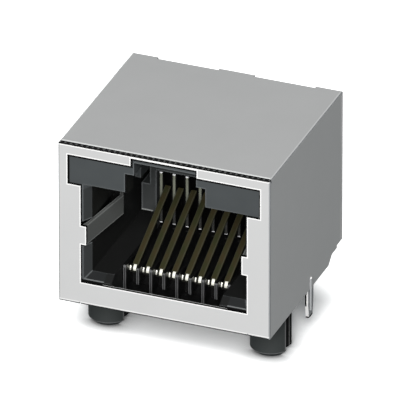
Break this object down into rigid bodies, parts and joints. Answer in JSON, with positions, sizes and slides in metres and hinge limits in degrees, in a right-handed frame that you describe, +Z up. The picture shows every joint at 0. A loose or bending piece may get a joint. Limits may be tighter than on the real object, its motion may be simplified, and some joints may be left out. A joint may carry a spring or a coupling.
{
  "type": "rj45 board jack",
  "caption": "Shielded right-angle modular jack for a circuit board: folded metal shell, dark plastic housing with pegs, and a row of gold-tipped spring contacts.",
  "frame": {"origin": "on the circuit board's face, midway between the two pegs", "axes": "+X to the right seen from the socket, +Y to the back, +Z up from the board"},
  "size_m": [0.0166, 0.0148, 0.017],
  "materials": {
    "tinned_sheet": "satin tin plate",
    "black_plastic": "moulded, fine matt",
    "contact_metal": "gold-flashed strip"
  },
  "bodies": {
    "root": {"shield": "tinned_sheet", "housing": "black_plastic", "contact_carrier": "black_plastic", "contact_1": "contact_metal", "contact_2": "contact_metal", "contact_3": "contact_metal", "contact_4": "contact_metal", "contact_5": "contact_metal", "contact_6": "contact_metal", "contact_7": "contact_metal", "contact_8": "contact_metal"}
  },
  "joints": []
}
